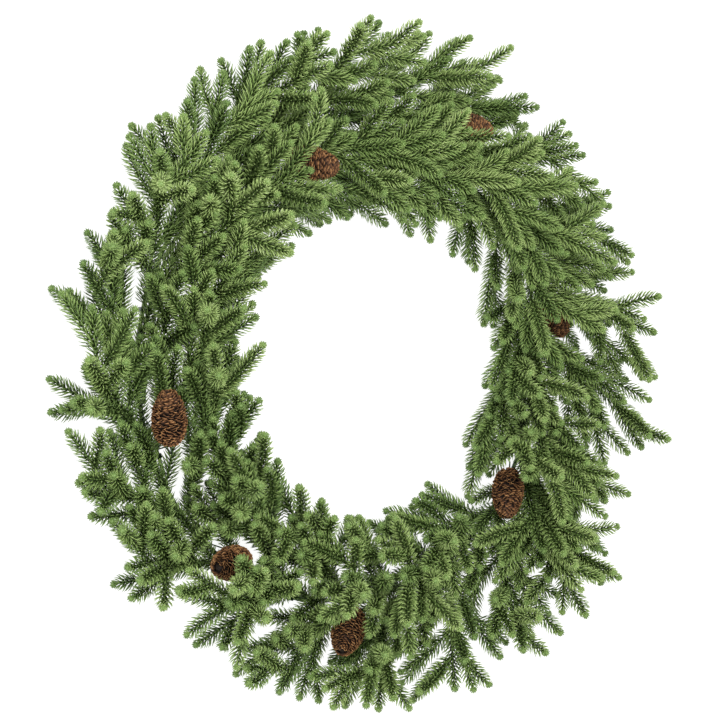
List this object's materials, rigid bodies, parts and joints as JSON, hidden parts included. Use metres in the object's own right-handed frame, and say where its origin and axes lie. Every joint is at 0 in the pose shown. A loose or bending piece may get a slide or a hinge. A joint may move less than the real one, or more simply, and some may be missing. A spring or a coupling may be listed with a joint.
{
  "type": "evergreen wreath",
  "caption": "Round evergreen wreath of overlapping spruce sprays held by clamps on a steel ring, with pine cones wired in among them.",
  "frame": {"origin": "on the surface that the wreath lies on, under the middle of its box", "axes": "+Z out of the wreath's front, +Y towards its top as it hangs, +X to the right seen from the front"},
  "size_m": [0.7518, 0.7508, 0.1528],
  "materials": {
    "spruce": "dense mid-green needles, satin, with paler yellow-green bud tips",
    "cone": "dry woody scales, matt, with lighter tips",
    "ring_steel": "dark green enamel, satin",
    "wire": "green enamelled florist's wire, satin"
  },
  "bodies": {
    "root": {"clamp_ring": "ring_steel", "pine_cone_1": "cone", "pine_cone_2": "cone", "pine_cone_3": "cone", "pine_cone_4": "cone", "pine_cone_5": "cone", "pine_cone_6": "cone", "pine_cone_7": "cone", "cone_wire_1": "wire", "cone_wire_2": "wire", "cone_wire_3": "wire", "cone_wire_4": "wire", "cone_wire_5": "wire", "cone_wire_6": "wire", "cone_wire_7": "wire", "spray_01": "spruce", "spray_02": "spruce", "spray_03": "spruce", "spray_04": "spruce", "spray_05": "spruce", "spray_06": "spruce", "spray_07": "spruce", "spray_08": "spruce", "spray_09": "spruce", "spray_10": "spruce", "spray_11": "spruce", "spray_12": "spruce", "spray_13": "spruce", "spray_14": "spruce", "spray_15": "spruce", "spray_16": "spruce", "spray_17": "spruce", "spray_18": "spruce", "spray_19": "spruce", "spray_20": "spruce", "spray_21": "spruce", "spray_22": "spruce", "spray_23": "spruce", "spray_24": "spruce", "spray_25": "spruce", "spray_26": "spruce", "spray_27": "spruce", "spray_28": "spruce", "spray_29": "spruce", "spray_30": "spruce", "spray_31": "spruce", "spray_32": "spruce", "spray_33": "spruce", "spray_34": "spruce", "spray_35": "spruce", "spray_36": "spruce", "spray_37": "spruce", "spray_38": "spruce", "spray_39": "spruce", "spray_40": "spruce", "spray_41": "spruce", "spray_42": "spruce"}
  },
  "joints": []
}
